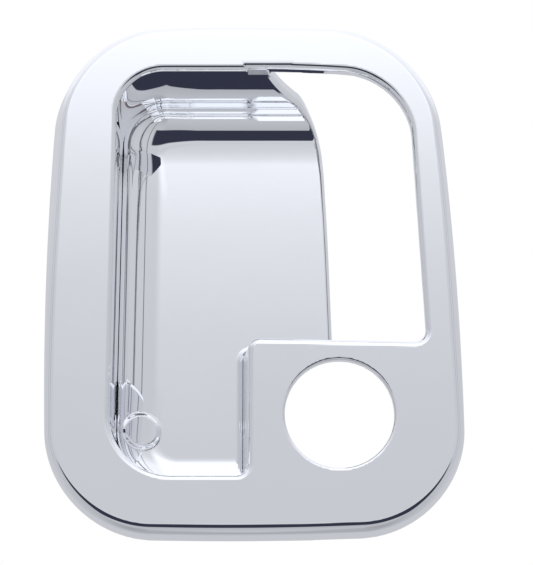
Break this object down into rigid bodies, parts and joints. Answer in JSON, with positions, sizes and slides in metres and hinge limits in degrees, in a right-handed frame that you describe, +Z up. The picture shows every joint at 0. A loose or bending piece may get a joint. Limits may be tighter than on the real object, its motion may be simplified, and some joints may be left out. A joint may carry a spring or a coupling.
{
  "type": "vehicle door handle surround",
  "caption": "Bright-plated cover that fits over a truck's outside door handle: finger pocket, opening for the paddle and a pad with a lock hole, with foam tape and release films behind.",
  "frame": {"origin": "in the plane of the rear rim that rests on the door skin, level with the middle of the pocket", "axes": "+X across the door to the right, +Y into the door, +Z up"},
  "size_m": [0.1579, 0.0535, 0.201],
  "materials": {
    "chrome_plate": "bright decorative chrome on moulded plastic",
    "foam_tape": "grey acrylic foam, fine closed cells",
    "release_film": "glossy red polyethylene film"
  },
  "bodies": {
    "cover": {"bezel": "chrome_plate", "tape_top": "foam_tape", "tape_left_upper": "foam_tape", "tape_left_lower": "foam_tape", "tape_bottom_left": "foam_tape", "tape_bottom_right": "foam_tape", "tape_lock_left": "foam_tape", "tape_lock_right": "foam_tape", "tape_floor_left": "foam_tape", "tape_floor_right": "foam_tape"},
    "film_top": {"liner_top": "release_film"},
    "film_left_upper": {"liner_left_upper": "release_film"},
    "film_left_lower": {"liner_left_lower": "release_film"},
    "film_bottom_left": {"liner_bottom_left": "release_film"},
    "film_bottom_right": {"liner_bottom_right": "release_film"},
    "film_lock_left": {"liner_lock_left": "release_film"},
    "film_lock_right": {"liner_lock_right": "release_film"},
    "film_floor_left": {"liner_floor_left": "release_film"},
    "film_floor_right": {"liner_floor_right": "release_film"}
  },
  "joints": [
    {"name": "film_top_lift", "type": "slide", "parent": "cover", "child": "film_top", "axis": [0, 1, 0], "range_m": [0, 0.03]},
    {"name": "film_left_upper_lift", "type": "slide", "parent": "cover", "child": "film_left_upper", "axis": [0, 1, 0], "range_m": [0, 0.03]},
    {"name": "film_left_lower_lift", "type": "slide", "parent": "cover", "child": "film_left_lower", "axis": [0, 1, 0], "range_m": [0, 0.03]},
    {"name": "film_bottom_left_lift", "type": "slide", "parent": "cover", "child": "film_bottom_left", "axis": [0, 1, 0], "range_m": [0, 0.03]},
    {"name": "film_bottom_right_lift", "type": "slide", "parent": "cover", "child": "film_bottom_right", "axis": [0, 1, 0], "range_m": [0, 0.03]},
    {"name": "film_lock_left_lift", "type": "slide", "parent": "cover", "child": "film_lock_left", "axis": [0, 1, 0], "range_m": [0, 0.03]},
    {"name": "film_lock_right_lift", "type": "slide", "parent": "cover", "child": "film_lock_right", "axis": [0, 1, 0], "range_m": [0, 0.03]},
    {"name": "film_floor_left_lift", "type": "slide", "parent": "cover", "child": "film_floor_left", "axis": [0, 1, 0], "range_m": [0, 0.03]},
    {"name": "film_floor_right_lift", "type": "slide", "parent": "cover", "child": "film_floor_right", "axis": [0, 1, 0], "range_m": [0, 0.03]}
  ]
}
